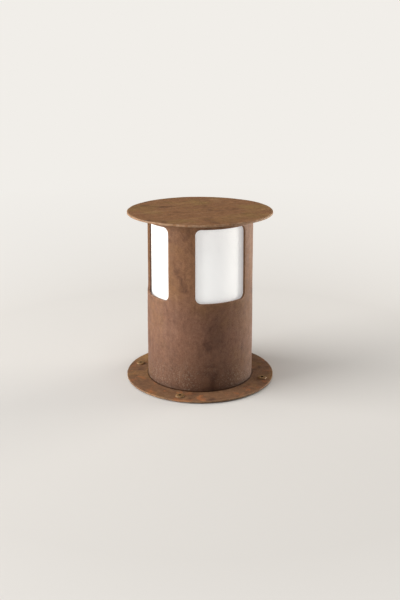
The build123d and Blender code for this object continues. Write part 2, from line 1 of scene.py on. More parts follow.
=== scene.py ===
"""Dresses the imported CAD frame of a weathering-steel garden lantern.

The steel cover (lid, tube, flange, weld, screws), the opal diffuser and the lamp unit under it are
rebuilt as fine meshes from numpy surfaces; the small plain pieces keep their CAD meshes. Every piece
gets a node material for its finish. Lengths are in metres, in the frame's own axes: +Z up, a window
facing -Y.
"""

import logging
import math
from dataclasses import dataclass
from enum import Enum
from typing import Callable, Sequence

import bpy
import numpy as np
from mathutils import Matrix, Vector

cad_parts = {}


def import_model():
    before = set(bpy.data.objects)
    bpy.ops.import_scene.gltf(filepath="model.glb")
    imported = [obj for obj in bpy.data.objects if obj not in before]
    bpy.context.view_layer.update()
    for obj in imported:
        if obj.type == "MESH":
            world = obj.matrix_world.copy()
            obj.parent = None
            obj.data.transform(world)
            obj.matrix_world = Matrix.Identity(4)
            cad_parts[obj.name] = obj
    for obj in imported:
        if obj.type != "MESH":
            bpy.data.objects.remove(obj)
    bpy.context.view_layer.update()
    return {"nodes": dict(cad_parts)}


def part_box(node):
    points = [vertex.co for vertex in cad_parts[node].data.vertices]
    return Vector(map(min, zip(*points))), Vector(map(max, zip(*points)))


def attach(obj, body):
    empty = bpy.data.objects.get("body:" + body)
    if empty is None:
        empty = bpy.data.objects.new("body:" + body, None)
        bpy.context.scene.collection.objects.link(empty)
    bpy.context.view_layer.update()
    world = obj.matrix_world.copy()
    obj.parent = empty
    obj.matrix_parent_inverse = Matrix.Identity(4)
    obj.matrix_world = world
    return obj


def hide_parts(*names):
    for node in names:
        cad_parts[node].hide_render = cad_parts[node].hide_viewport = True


LOG = logging.getLogger("garden_lantern")
MM = 0.001
FULL_TURN = 2.0 * math.pi

Array = np.ndarray
Socket = bpy.types.NodeSocket
Place = tuple[float, float, float]
Colour = tuple[float, float, float]
Span = tuple[float, float]
Profile = Sequence[Span]
Pair = tuple[Array, Array]
Shaper = Callable[[Array, Array, Array], Pair]
ORIGIN: Place = (0.0, 0.0, 0.0)


# Mesh work
class Shell:
    """Quads and triangles gathered from grids, welded into one closed mesh at the end."""

    def __init__(self) -> None:
        self.points: list[Array] = []
        self.faces: list[Array] = []
        self.wear: list[Array] = []
        self.count = 0

    def grid(self, points: Array, wear: Array | None = None, wrap: bool = False) -> None:
        """Adds a grid of points as quads.

        Args:
            points: rows by columns by 3.
            wear: rows by columns, how near each point is to a worn edge, 0 to 1, or -1 for painted shade in a
                hollow.
            wrap: joins the last row to the first.
        """
        rows, cols = points.shape[:2]
        index = np.arange(rows * cols).reshape(rows, cols) + self.count
        upper = np.vstack([index, index[:1]]) if wrap else index
        quads = np.stack([upper[:-1, :-1], upper[:-1, 1:], upper[1:, 1:], upper[1:, :-1]], axis=-1)
        self.points.append(points.reshape(-1, 3))
        self.faces.append(quads.reshape(-1, 4))
        self.wear.append(np.zeros(rows * cols) if wear is None else wear.reshape(-1))
        self.count += rows * cols

    def welded(self) -> tuple[Array, list[list[int]], Array]:
        """Merges points closer than a hundredth of a millimetre and drops what collapses.

        Returns:
            The points, the faces as index lists that point outwards, and the wear at each point.
        """
        points = np.concatenate(self.points)
        wear = np.concatenate(self.wear)
        keys = np.round(points / (0.01 * MM)).astype(np.int64)
        _, first, inverse = np.unique(keys, axis=0, return_index=True, return_inverse=True)
        points, wear = points[first], wear[first]
        quads = inverse.reshape(-1)[np.concatenate(self.faces)]
        faces = [list(dict.fromkeys(quad)) for quad in quads.tolist()]
        faces = [face for face in faces if len(face) > 2]
        volume = 0.0
        for least, corners in ((3, (0, 1, 2)), (4, (0, 2, 3))):
            a, b, c = (points[[face[i] for face in faces if len(face) >= least]] for i in corners)
            volume += np.einsum("ij,ij->i", a, np.cross(b, c)).sum()
        if volume < 0:
            faces = [face[::-1] for face in faces]
        return points, faces, wear


def make_piece(name: str, shell: Shell, material: bpy.types.Material, sharp: float = 32.0) -> bpy.types.Object:
    """Turns a shell into an object with smooth faces and creases where it bends sharply.

    Args:
        name: the object's name.
        shell: the gathered grids.
        material: its finish.
        sharp: angle in degrees past which an edge stays crisp.

    Returns:
        The new object, at the origin.
    """
    points, faces, wear = shell.welded()
    mesh = bpy.data.meshes.new(name)
    mesh.from_pydata(points.tolist(), [], faces)
    mesh.attributes.new("wear_and_painted_light", "FLOAT", "POINT").data.foreach_set("value", wear.astype(np.float32))
    mesh.polygons.foreach_set("use_smooth", np.ones(len(faces), bool))
    mesh.set_sharp_from_angle(angle=math.radians(sharp))
    mesh.materials.append(material)
    mesh.update()
    piece = bpy.data.objects.new(name, mesh)
    bpy.context.scene.collection.objects.link(piece)
    LOG.info("%s: %d faces", name, len(faces))
    return piece


def ripple(points: Array, wavelength: float, height: float, seed: int, waves: int = 14) -> Array:
    """A smooth uneven field: the sum of sine waves in random directions.

    Args:
        points: any shape by 3.
        wavelength: the mean wavelength.
        height: the field's standard deviation.
        seed: picks the directions and phases.
        waves: how many waves are summed.

    Returns:
        The field's value at each point.
    """
    rng = np.random.default_rng(seed)
    ways = rng.normal(size=(waves, 3))
    ways /= np.linalg.norm(ways, axis=1, keepdims=True)
    ways *= FULL_TURN / (wavelength * rng.uniform(0.6, 1.6, size=(waves, 1)))
    phases = rng.uniform(0.0, FULL_TURN, size=waves)
    return np.sin(points @ ways.T + phases).sum(axis=-1) * height * math.sqrt(2.0 / waves)


def around(radius: Array | float, angle: Array, height: Array) -> Array:
    """Points about the Z axis: (r cos a, r sin a, z)."""
    return np.stack([radius * np.cos(angle), radius * np.sin(angle), height], axis=-1)


def rounded_outline(corners: Profile, radii: Sequence[float], steps: int = 5) -> Array:
    """An open outline whose inner corners are arcs.

    Each corner's arc touches both of its runs, at radius over tan(half angle) from the corner.

    Args:
        corners: the outline's (radius, height) corners.
        radii: an arc radius for each corner; the first and the last are ignored.
        steps: points on each arc.

    Returns:
        The outline's points, n by 2.
    """
    pts = np.asarray(corners, float)
    out = [pts[0]]
    for before, corner, after, radius in zip(pts[:-2], pts[1:-1], pts[2:], radii[1:-1]):
        if radius <= 0.0:
            out.append(corner)
            continue
        one, two = before - corner, after - corner
        one, two = one / np.linalg.norm(one), two / np.linalg.norm(two)
        half = math.acos(float(np.clip(one @ two, -1.0, 1.0))) / 2.0
        middle = (one + two) / np.linalg.norm(one + two)
        centre = corner + middle * radius / math.sin(half)
        start, end = corner + one * radius / math.tan(half), corner + two * radius / math.tan(half)
        first = math.atan2(*(start - centre)[::-1])
        sweep = (math.atan2(*(end - centre)[::-1]) - first + math.pi) % FULL_TURN - math.pi
        turn = first + sweep * np.linspace(0.0, 1.0, steps)
        out.extend(centre + radius * np.stack([np.cos(turn), np.sin(turn)], axis=1))
    out.append(pts[-1])
    return np.array(out)


def refined(outline: Array, longest: float) -> Array:
    """The outline with its long runs divided, so that no run is longer than the given length."""
    parts = [outline[:1]]
    for a, b in zip(outline[:-1], outline[1:]):
        pieces = max(1, math.ceil(float(np.linalg.norm(b - a)) / longest))
        parts.append(a + (b - a) * (np.arange(1, pieces + 1) / pieces)[:, None])
    return np.concatenate(parts)


def lathe(outline: Array, segments: int, centre: Span = (0.0, 0.0), shape: Shaper | None = None,
          wear: Array | None = None, closed: bool = False) -> Shell:
    """A surface of revolution about a vertical axis: (r cos a, r sin a, z) over angle and outline.

    Args:
        outline: n by 2 points of (radius, height).
        segments: steps round the axis.
        centre: the axis's place.
        shape: changes radius and height, given angle, radius and height arrays.
        wear: edge wear along the outline.
        closed: joins the outline's end to its start.

    Returns:
        The closed shell.
    """
    ring = np.vstack([outline, outline[:1]]) if closed else outline
    angle = (np.arange(segments) / segments * FULL_TURN)[:, None]
    radius = np.broadcast_to(ring[:, 0], (segments, len(ring)))
    height = np.broadcast_to(ring[:, 1], (segments, len(ring)))
    if shape is not None:
        radius, height = shape(angle, radius, height)
    points = around(radius, angle, height) + np.array([*centre, 0.0])
    shell = Shell()
    along = np.zeros(len(ring)) if wear is None else (np.append(wear, wear[:1]) if closed else wear)
    shell.grid(points, np.broadcast_to(along, radius.shape), wrap=True)
    return shell


def wear_and_painted_light(outline: Array, corners: Profile, reach: float) -> Array:
    """Wear along an outline: 1 at the named corners, fading to 0 at the given reach."""
    gap = np.min([np.linalg.norm(outline - np.array(corner), axis=1) for corner in corners], axis=0)
    return np.clip(1.0 - gap / reach, 0.0, 1.0)


def hexagon_radius(angle: Array, across_flats: float) -> Array:
    """The distance from a hexagon's centre to its side: half the flats over cos(angle to the flat)."""
    sixth = FULL_TURN / 6.0
    return across_flats / 2.0 / np.cos((angle + sixth / 2.0) % sixth - sixth / 2.0)


# Pierced sheets: a sheet with one hole in the middle of each of several equal cells
@dataclass(frozen=True)
class PiercedSheet:
    """A closed sheet over (along, across, depth), with the same rounded hole in each of its cells.

    Attributes:
        cells: cells round the sheet.
        pitch: length of one cell along the sheet.
        across: the sheet's lowest and highest place across.
        hole_centre: the hole's middle across.
        hole_half: half the hole's length and height.
        hole_corner: the hole's corner radius.
        thickness: the sheet's thickness.
        edge: radius of its broken edges.
        steps: grid steps along and across one cell, from hole to border, and down the plain part.
        border: the lowest place across that the cells' own grid reaches; a plain grid lies below.
    """

    cells: int
    pitch: float
    across: Span
    hole_centre: float
    hole_half: Span
    hole_corner: float
    thickness: float
    edge: float
    steps: tuple[int, int, int, int]
    border: float

    def hole_loop(self, grow: float) -> Array:
        """The hole's outline, grown by an amount, in four runs from one corner's middle to the next."""
        half_u, half_v = self.hole_half[0] + grow, self.hole_half[1] + grow
        corner = self.hole_corner + grow
        turn = np.linspace(0.0, math.pi / 2.0, 33)
        sides = []
        for k, (inner_u, inner_v) in enumerate(((-1, -1), (1, -1), (1, 1), (-1, 1))):
            start = math.pi + k * math.pi / 2.0
            mid_u, mid_v = inner_u * (half_u - corner), inner_v * (half_v - corner)
            across, up = corner * np.cos(start + turn), corner * np.sin(start + turn)
            sides.append(np.stack([mid_u + across, mid_v + up], axis=1))
        dense = np.roll(np.concatenate(sides), -16, axis=0)
        dense = np.vstack([dense, dense[:1]])
        run = np.concatenate([[0.0], np.cumsum(np.linalg.norm(np.diff(dense, axis=0), axis=1))])
        loop = []
        for k, count in enumerate(self.steps[:2] * 2):
            begin, end = run[33 * k], run[33 * (k + 1)]
            at = begin + (end - begin) * np.arange(count) / count
            loop.append(np.stack([np.interp(at, run, dense[:, 0]), np.interp(at, run, dense[:, 1])], axis=1))
        loop = np.concatenate(loop)
        return np.vstack([loop, loop[:1]]) + np.array([0.0, self.hole_centre])

    def border_loop(self, top_inset: float) -> Array:
        """The cell's rectangle, with as many points on each side as the hole's outline has."""
        low, high, half = self.border, self.across[1] - top_inset, self.pitch / 2.0
        corners = np.array([(-half, low), (half, low), (half, high), (-half, high), (-half, low)])
        sides = [start + (end - start) * (np.arange(count) / count)[:, None]
                 for start, end, count in zip(corners, corners[1:], self.steps[:2] * 2)]
        return np.vstack([*sides, corners[:1]])

    def edge_profile(self) -> Array:
        """The rounded edge as (offset from the edge, depth) pairs, from front to back."""
        turn = np.linspace(0.0, math.pi / 2.0, 4)
        front = np.stack([self.edge * (1 - np.sin(turn)), self.edge * (1 - np.cos(turn))], axis=1)
        back = front[::-1] * np.array([1.0, -1.0]) + np.array([0.0, self.thickness])
        return np.vstack([front, back])

    def build(self, place: Callable[[Array, Array, Array], Array], reach: float) -> Shell:
        """Builds the closed shell.

        Args:
            place: maps along, across and depth to points in space.
            reach: how far edge wear fades in from an edge.

        Returns:
            The shell, closed once it is welded.
        """
        shell = Shell()
        profile = self.edge_profile()
        inner, outer = self.hole_loop(self.edge), self.border_loop(self.edge)
        blend = (np.linspace(0.0, 1.0, self.steps[2] + 1) ** 1.35)[:, None, None]
        cell = inner + (outer - inner) * blend
        columns = np.linspace(-self.pitch / 2.0, self.pitch / 2.0, self.steps[0] + 1)
        rows = np.linspace(self.across[0] + self.edge, self.border, self.steps[3] + 1)
        hole_edge = np.stack([self.hole_loop(float(grow)) for grow, _ in profile])
        for k in range(self.cells):
            shift = np.array([k * self.pitch, 0.0])
            for depth in (0.0, self.thickness):
                self._add(shell, place, cell + shift, np.full(cell.shape[:2], depth), reach)
                if self.border > self.across[0] + self.edge:
                    plain = np.stack(np.meshgrid(columns, rows), axis=-1)
                    self._add(shell, place, plain + shift, np.full(plain.shape[:2], depth), reach)
            depth = np.broadcast_to(profile[:, 1:], hole_edge.shape[:2])
            self._add(shell, place, hole_edge + shift, depth, reach)
            for base, way in ((self.across[0], 1.0), (self.across[1], -1.0)):
                along = np.broadcast_to(columns, (len(profile), len(columns)))
                across = np.broadcast_to(base + way * profile[:, :1], along.shape)
                rim = np.stack([along, across], axis=-1) + shift
                self._add(shell, place, rim, np.broadcast_to(profile[:, 1:], along.shape), reach)
        return shell

    def _add(self, shell: Shell, place: Callable, flat: Array, depth: Array, reach: float) -> None:
        """Adds one grid of (along, across) points at a depth, with its distance to the edges as wear."""
        local = np.stack([(flat[..., 0] + self.pitch / 2) % self.pitch - self.pitch / 2,
                          flat[..., 1] - self.hole_centre], axis=-1)
        inside = np.abs(local) - (np.array(self.hole_half) - self.hole_corner)
        gap = np.linalg.norm(np.maximum(inside, 0.0), axis=-1) - self.hole_corner
        gap = np.minimum(gap, np.minimum(flat[..., 1] - self.across[0], self.across[1] - flat[..., 1]))
        shell.grid(place(flat[..., 0], flat[..., 1], depth), np.clip(1.0 - gap / reach, 0.0, 1.0))


# Materials
class Bench:
    """A material's node tree with short calls for the nodes that the finishes use."""

    def __init__(self, name: str) -> None:
        self.material = bpy.data.materials.new(name)
        self.material.use_nodes = True
        self.tree = self.material.node_tree
        self.shader = self.tree.nodes["Principled BSDF"]
        self.place = self.tree.nodes.new("ShaderNodeTexCoord").outputs["Object"]

    def node(self, kind: str, output: int | str, values: dict[int | str, object], **settings: object) -> Socket:
        """Adds a node.

        Args:
            kind: the node's type, without its ShaderNode prefix.
            output: the output to return.
            values: what each input gets: another node's socket, or a plain value.
            settings: the node's own properties.

        Returns:
            The output's socket.
        """
        node = self.tree.nodes.new("ShaderNode" + kind)
        for name, value in settings.items():
            setattr(node, name, value)
        for key, value in values.items():
            self.feed(node.inputs[key], value)
        return node.outputs[output]

    def feed(self, target: Socket, value: object) -> None:
        """Links a socket to an input, or sets a plain value on it; a colour may leave out its alpha."""
        if isinstance(value, Socket):
            self.tree.links.new(value, target)
        else:
            target.default_value = (*value, 1.0) if target.type == "RGBA" and len(value) == 3 else value

    def fixed(self, **values: object) -> None:
        """Gives the shader's inputs sockets or plain values; an underscore in a name stands for a space."""
        for name, value in values.items():
            self.feed(self.shader.inputs[name.replace("_", " ")], value)

    def stretched(self, scale: Place, turn: Place = ORIGIN, shift: Place = ORIGIN) -> Socket:
        """The object's coordinates, scaled, turned and shifted."""
        values = {"Scale": scale, "Rotation": turn, "Location": shift, "Vector": self.place}
        return self.node("Mapping", "Vector", values)

    def noise(self, size: float, detail: float = 4.0, rough: float = 0.55, warp: float = 0.0,
              place: Socket | None = None) -> Socket:
        """Cloudy noise whose features are about the given size in metres."""
        return self.node("TexNoise", "Fac", {"Scale": 1.0 / size, "Detail": detail, "Roughness": rough,
                                             "Distortion": warp, "Vector": place or self.place})

    def cells(self, size: float, output: str = "Distance") -> Socket:
        """Scattered cells of about the given size in metres."""
        return self.node("TexVoronoi", output, {"Scale": 1.0 / size, "Vector": self.place})

    def wear(self) -> Socket:
        """The piece's own edge wear; below zero it marks painted shade in a hollow."""
        return self.node("Attribute", "Fac", {}, attribute_name="wear_and_painted_light")

    def height(self, low: float, high: float, most: float = 1.0) -> Socket:
        """0 at one height and the most at another, clamped between them."""
        return self.between(self.node("SeparateXYZ", "Z", {0: self.place}), low, high, 0.0, most)

    def distance(self) -> Socket:
        """The distance from the object's origin, in metres."""
        return self.node("VectorMath", "Value", {0: self.place}, operation="LENGTH")

    def between(self, value: Socket, low: float, high: float, start: float = 0.0, end: float = 1.0) -> Socket:
        """Maps the range from low to high onto that from start to end, clamped."""
        ends = zip(("From Min", "From Max", "To Min", "To Max"), (low, high, start, end))
        return self.node("MapRange", "Result", {**dict(ends), "Value": value})

    def ramp(self, value: Socket, stops: Sequence[tuple[float, Colour]]) -> Socket:
        """A colour for each value, from (position, colour) stops."""
        colour = self.node("ValToRGB", "Color", {"Fac": value})
        elements = colour.node.color_ramp.elements
        while len(elements) < len(stops):
            elements.new(0.5)
        for element, (position, tone) in zip(elements, stops):
            element.position, element.color = position, (*tone, 1.0)
        return colour

    def mix(self, share: Socket | float, a: Socket | Colour, b: Socket | Colour, mode: str = "MIX") -> Socket:
        """Blends two colours by a share."""
        return self.node("Mix", 2, {"Factor": share, 6: a, 7: b}, data_type="RGBA", blend_type=mode)

    def times(self, a: Socket | float, b: Socket | float, how: str = "MULTIPLY") -> Socket:
        """The product of two values, or another maths operation on them."""
        return self.node("Math", 0, {0: a, 1: b}, operation=how)

    def bump(self, height: Socket, depth: float, strength: float = 1.0, onto: Socket | None = None) -> Socket:
        """A bump of the given depth in metres, over an earlier one if it is given."""
        earlier = {} if onto is None else {"Normal": onto}
        return self.node("Bump", "Normal", {"Strength": strength, "Distance": depth, "Height": height, **earlier})

    def uneven(self, size: float, low: float, high: float, detail: float = 3.0) -> Socket:
        """A value that wanders between two limits in patches of the given size."""
        return self.between(self.noise(size, detail, 0.6), 0.3, 0.7, low, high)


@dataclass(frozen=True)
class RustPatina:
    """Settled rust on weathering steel: brown clouds, ochre and red patches, grain and fine pits.

    Edge wear above zero shows pale worn metal, which on the lid's rim also paints a highlight, and below
    zero paints the shade of a hollow nearly black.

    Attributes:
        name: the material's name.
        dark, body, pale: the deepest brown, the main brown and the dusty brown of the high spots.
        ochre, fresh: the yellower patches and the orange of young rust.
        streak: scale of the streaks along X, Y and Z; a small number draws them out that way.
        streak_turn: turn of the streaks about Z in degrees.
        fresh_share: noise value past which young rust shows; lower shows more.
        rough: the mean roughness.
        sheen: specular level; settled rust is nearly matt, handled rust has a waxy sheen.
        cloud: size of the brown clouds in metres.
        mottle: size of the small light and dark spots in metres.
        worn_and_lit_edge: colour of the worn edges, or None for the pale brown; on the lid it also
        paints the highlight along the rim.
        dust, darker_low, foot_shade, upper_tint, lid_shadow: None, or the heights where each starts and
        where it is full: pale dust specks near the foot, a darker tone towards the foot, painted shade in
        the crease at the very foot, a yellower, lighter tone towards the top, and a painted shadow under the lid.
    """

    name: str
    dark: Colour = (0.09, 0.038, 0.022)
    body: Colour = (0.185, 0.09, 0.055)
    pale: Colour = (0.242, 0.131, 0.085)
    ochre: Colour = (0.19, 0.095, 0.045)
    fresh: Colour = (0.27, 0.1, 0.045)
    streak: Place = (1.0, 1.0, 0.12)
    streak_turn: float = 0.0
    fresh_share: float = 0.66
    rough: float = 0.62
    sheen: float = 0.42
    cloud: float = 0.034
    mottle: float = 0.0055
    worn_and_lit_edge: Colour | None = None
    dust: Span | None = None
    darker_low: Span | None = None
    foot_shade: Span | None = None
    upper_tint: Span | None = None
    lid_shadow: Span | None = None

    def build(self) -> bpy.types.Material:
        """Makes the material."""
        b = Bench(self.name)
        colour = b.ramp(b.noise(self.cloud, 5.0, 0.58, 0.6),
                        [(0.3, self.dark), (0.46, self.body), (0.6, self.body), (0.78, self.pale)])
        lines = b.stretched(self.streak, (0.0, 0.0, math.radians(self.streak_turn)))
        even = (1.0, 1.0, 1.0)
        for (size, detail, rough, warp), place, low, high, share, tone in (
            ((0.055, 3.0, 0.5, 0.3), b.stretched(even, shift=(0.3, 0.1, 0.7)), 0.5, 0.66, 0.75, self.ochre),
            ((0.007, 4.0, 0.6, 0.2), lines, 0.36, 0.66, 0.22, self.dark),
            ((0.012, 3.0, 0.5, 0.1), b.stretched(self.streak, shift=(0.5, 0.5, 0.2)), 0.55, 0.78, 0.35,
             self.pale),
            ((0.02, 5.0, 0.65, 0.8), b.stretched(even, shift=(0.9, 0.4, 0.1)), self.fresh_share,
             self.fresh_share + 0.1, 0.55, self.fresh),
        ):
            patches = b.between(b.noise(size, detail, rough, warp, place), low, high, 0.0, share)
            colour = b.mix(patches, colour, tone)
        spots = b.ramp(b.noise(self.mottle, 4.0, 0.72, 0.4),
                       [(0.32, (0.74, 0.71, 0.68)), (0.68, (1.2, 1.19, 1.17))])
        grain = b.noise(0.0011, 3.0, 0.7)
        grains = b.ramp(grain, [(0.3, (0.62, 0.6, 0.58)), (0.7, (1.3, 1.28, 1.25))])
        colour = b.mix(0.55, b.mix(0.8, colour, spots, "MULTIPLY"), grains, "MULTIPLY")
        pits = b.between(b.cells(0.0032), 0.1, 0.22)
        colour = b.mix(b.between(pits, 0.0, 1.0, 0.35, 0.0), colour, self.dark)
        # Pale worn edges; on the lid their colour also paints the highlight along the rim.
        worn_and_lit = b.between(b.noise(0.006, 4.0, 0.6), 0.35, 0.6, 0.0, 0.55)
        colour = b.mix(b.times(b.wear(), worn_and_lit), colour, self.worn_and_lit_edge or self.pale)
        if self.dust is not None:
            specks = b.between(b.noise(0.0022, 2.0, 0.8), 0.53, 0.63)
            where = b.between(b.noise(0.03, 2.0, 0.5), 0.38, 0.54, 0.0, 0.75)
            colour = b.mix(b.times(b.times(b.height(*self.dust), specks), where), colour, (0.34, 0.25, 0.19))
        for span, share, tone, mode in (
            # yellower and lighter towards the top
            (self.upper_tint, 1.0, (1.13, 1.12, 0.9), "MULTIPLY"),
            # darker towards the foot
            (self.darker_low, 1.0, (0.76, 0.76, 0.73), "MULTIPLY"),
            # painted shade in the crease at the tube's foot
            (self.foot_shade, 0.55, (0.03, 0.014, 0.008), "MIX"),
            # painted shadow under the lid
            (self.lid_shadow, 0.75, (0.022, 0.01, 0.006), "MIX"),
        ):
            if span is not None:
                colour = b.mix(b.height(*span, share), colour, tone, mode)
        # Painted shade: points marked below zero, inside the screw sockets, go nearly black.
        colour = b.mix(b.between(b.wear(), -0.2, -0.9), colour, (0.012, 0.006, 0.003))
        relief = b.bump(b.noise(0.014, 5.0, 0.6), 0.0007, 0.8)
        for height, depth, strength in ((grain, 0.00022, 0.9), (pits, 0.00012, 0.7)):
            relief = b.bump(height, depth, strength, relief)
        b.fixed(Base_Color=colour, Roughness=b.uneven(0.01, self.rough - 0.1, self.rough + 0.12, 4.0),
                Specular_IOR_Level=self.sheen, Normal=relief)
        return b.material


@dataclass(frozen=True)
class OpalPlastic:
    """Opal acrylic: white and satin-smooth, with a faint haze in its colour, and an even emission that paints
    light let through it.
    """

    name: str = "opal_acrylic"
    tint: Colour = (0.72, 0.725, 0.72)
    haze: Colour = (0.76, 0.76, 0.755)
    painted_glow: float = 0.38

    def build(self) -> bpy.types.Material:
        """Makes the material."""
        b = Bench(self.name)
        b.fixed(Base_Color=b.ramp(b.noise(0.05, 3.0, 0.5), [(0.3, self.tint), (0.7, self.haze)]),
                Roughness=b.uneven(0.004, 0.2, 0.28), Emission_Color=(0.98, 0.99, 1.0),
                # Painted light: an even emission stands in for studio light passing through the opal; no lamp is
                # lit.
                Emission_Strength=self.painted_glow, Coat_Weight=0.35, Coat_Roughness=0.08, Subsurface_Weight=0.15,
                Subsurface_Radius=(0.01, 0.01, 0.01), Subsurface_Scale=0.4,
                Normal=b.bump(b.noise(0.02, 2.0, 0.5), 0.00025, 0.3))
        return b.material


@dataclass(frozen=True)
class ZincSheet:
    """Zinc-plated steel: spangled grey with a fine drawn grain."""

    name: str
    tone: Colour = (0.5, 0.51, 0.52)
    spangle: float = 0.006
    rough: float = 0.36

    def build(self) -> bpy.types.Material:
        """Makes the material."""
        b = Bench(self.name)
        shades = [(place, tuple(c * share for c in self.tone)) for place, share in ((0.0, 0.82), (1.0, 1.12))]
        tone = b.ramp(b.cells(self.spangle, "Color"), shades)
        dull = b.between(b.noise(0.02, 4.0, 0.6), 0.45, 0.7, 0.0, 0.4)
        b.fixed(Base_Color=b.mix(dull, tone, (0.62, 0.63, 0.62)), Metallic=1.0,
                Roughness=b.uneven(0.008, self.rough - 0.08, self.rough + 0.14),
                Normal=b.bump(b.noise(0.0012, 2.0, 0.5), 0.00005, 0.5))
        return b.material


@dataclass(frozen=True)
class BareMetal:
    """A turned or cast metal: its own colour with light smears and a fine texture."""

    name: str
    tone: Colour
    rough: float = 0.3
    grain: float = 0.0008
    relief: float = 0.00004
    tarnish: Colour = (0.3, 0.25, 0.18)
    tarnish_share: float = 0.25

    def build(self) -> bpy.types.Material:
        """Makes the material."""
        b = Bench(self.name)
        stain = b.between(b.noise(0.006, 5.0, 0.65), 0.48, 0.72, 0.0, self.tarnish_share)
        b.fixed(Base_Color=b.mix(stain, self.tone, self.tarnish), Metallic=1.0,
                Roughness=b.uneven(0.003, self.rough - 0.06, self.rough + 0.12),
                Normal=b.bump(b.noise(self.grain, 2.0, 0.6), self.relief, 0.7))
        return b.material


@dataclass(frozen=True)
class Moulding:
    """Moulded plastic, rubber or glazed ware: one colour, a fine skin and a little unevenness."""

    name: str
    tone: Colour
    rough: float = 0.45
    skin: float = 0.0009
    relief: float = 0.00005
    spread: float = 0.06
    coat: float = 0.0

    def build(self) -> bpy.types.Material:
        """Makes the material."""
        b = Bench(self.name)
        low = tuple(c * (1.0 - self.spread) for c in self.tone)
        high = tuple(min(1.0, c * (1.0 + self.spread)) for c in self.tone)
        b.fixed(Base_Color=b.ramp(b.noise(0.012, 4.0, 0.6), [(0.3, low), (0.7, high)]),
                Roughness=b.uneven(0.005, self.rough - 0.05, self.rough + 0.08), Coat_Weight=self.coat,
                Coat_Roughness=0.05, Normal=b.bump(b.noise(self.skin, 2.0, 0.6), self.relief, 0.6))
        return b.material


class Finish(Enum):
    """Every finish on the lantern."""

    # The lid's pale worn-edge colour is partly wear and partly a painted highlight along the rim.
    LID_RUST = RustPatina("rust_lid", dark=(0.12, 0.056, 0.026), body=(0.25, 0.124, 0.057),
                          pale=(0.38, 0.225, 0.118), ochre=(0.265, 0.16, 0.058), worn_and_lit_edge=(0.46, 0.33, 0.23),
                          streak=(0.12, 1.0, 1.0), streak_turn=20.0, fresh_share=0.63, sheen=0.2)
    # The tube's foot band is painted shade, and its top band a painted shadow under the lid.
    TUBE_RUST = RustPatina("rust_tube", dust=(0.045, 0.006), darker_low=(0.075, 0.015), foot_shade=(0.012, 0.003),
                           upper_tint=(0.105, 0.15), lid_shadow=(0.225, 0.231), sheen=0.3)
    FLANGE_RUST = RustPatina("rust_flange", dark=(0.058, 0.027, 0.02), body=(0.202, 0.106, 0.055),
                             pale=(0.28, 0.172, 0.092), ochre=(0.345, 0.195, 0.07), fresh=(0.42, 0.15, 0.052),
                             streak=(1.0, 1.0, 1.0), fresh_share=0.55, cloud=0.022, sheen=0.3)
    # The weld is near-black: dark rust together with painted shade of the crease at the tube's foot.
    WELD_RUST = RustPatina("rust_weld_shaded", dark=(0.022, 0.01, 0.005), body=(0.045, 0.02, 0.01),
                           pale=(0.08, 0.04, 0.022), ochre=(0.06, 0.03, 0.012), fresh=(0.07, 0.03, 0.012),
                           streak=(1.0, 1.0, 1.0), rough=0.8, sheen=0.08)
    SCREW_RUST = RustPatina("rust_screw", dark=(0.1, 0.05, 0.02), body=(0.26, 0.15, 0.06),
                            pale=(0.34, 0.21, 0.095), ochre=(0.3, 0.17, 0.055), streak=(1.0, 1.0, 1.0),
                            rough=0.45)
    OPAL = OpalPlastic()
    ZINC = ZincSheet("zinc_sheet")
    ZINC_SCREW = BareMetal("zinc_screw", (0.62, 0.63, 0.64), 0.28)
    BRASS = BareMetal("brass", (0.72, 0.52, 0.22), 0.24)
    CAST = BareMetal("cast_aluminium", (0.66, 0.67, 0.68), 0.46, 0.0012, 0.0001, (0.45, 0.45, 0.45))
    SHELL = BareMetal("lamp_shell", (0.76, 0.75, 0.72), 0.2)
    COLLAR = Moulding("collar_plastic", (0.72, 0.72, 0.7), 0.5)
    DARK_BOX = Moulding("box_plastic", (0.055, 0.06, 0.065), 0.55, 0.001, 0.0001)
    GLAND = Moulding("gland_plastic", (0.016, 0.017, 0.019), 0.42)
    BLOCK = Moulding("block_plastic", (0.72, 0.7, 0.62), 0.35)
    RUBBER = Moulding("black_rubber", (0.014, 0.014, 0.015), 0.72, 0.0012, 0.00012)
    SEAL = Moulding("silicone_seal", (0.3, 0.3, 0.29), 0.62)
    PORCELAIN = Moulding("porcelain", (0.8, 0.79, 0.75), 0.16, 0.004, 0.00005, 0.03, 0.6)
    LAMP_WHITE = Moulding("lamp_white", (0.82, 0.82, 0.8), 0.38)
    FROST = Moulding("lamp_frost", (0.88, 0.88, 0.86), 0.5)
    BLACK_GLASS = Moulding("black_glass", (0.012, 0.012, 0.013), 0.1)

    def material(self) -> bpy.types.Material:
        """The finish's material, made the first time that it is asked for."""
        return bpy.data.materials.get(self.value.name) or self.value.build()


# The frame's sizes
@dataclass(frozen=True)
class NodeBox:
    """A CAD node's box, as the sizes that the new pieces are drawn from."""

    low: Place
    high: Place

    @classmethod
    def of(cls, node: str) -> "NodeBox":
        """Reads a node's box from the frame."""
        low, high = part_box(node)
        return cls(tuple(low), tuple(high))

    @property
    def radius(self) -> float:
        """Half the longest side across the Z axis."""
        return max(self.high[0] - self.low[0], self.high[1] - self.low[1]) / 2.0

    @property
    def bottom(self) -> float:
        """The lowest height."""
        return self.low[2]

    @property
    def top(self) -> float:
        """The highest height."""
        return self.high[2]


def fit_piece(name: str, shell: Shell, finish: Finish, sharp: float, body: str, slot: str, *nodes: str
              ) -> None:
    """Makes a piece and rides it on its body, in place of the named CAD nodes, if any."""
    piece = make_piece(name, shell, finish.material(), sharp)
    if nodes:
        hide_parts(*nodes)
    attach(piece, body)


